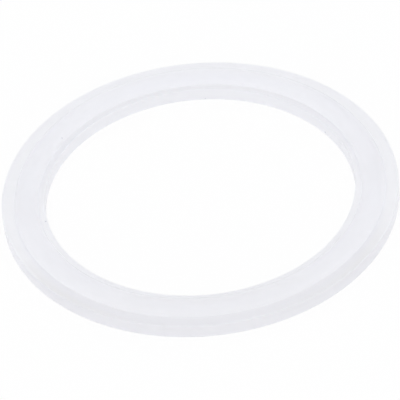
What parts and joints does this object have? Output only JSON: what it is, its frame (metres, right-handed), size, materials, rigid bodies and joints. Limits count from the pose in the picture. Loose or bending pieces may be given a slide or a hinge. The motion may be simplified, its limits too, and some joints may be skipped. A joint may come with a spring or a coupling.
{
  "type": "sanitary clamp gasket",
  "caption": "Milky translucent silicone ring gasket: a flat web with a plain round bore and a rounded bead on each face, which seats between two clamped tube ferrules.",
  "frame": {"origin": "centre of the bore on the mid-plane of the web", "axes": "+Z along the ring's axis; the ring is the same all round and on both faces"},
  "size_m": [0.064, 0.064, 0.0052],
  "materials": {
    "silicone": "moulded silicone rubber, milky and translucent with a faint cool tint, smooth with a soft satin sheen"
  },
  "bodies": {
    "root": {"gasket_ring": "silicone"}
  },
  "joints": []
}
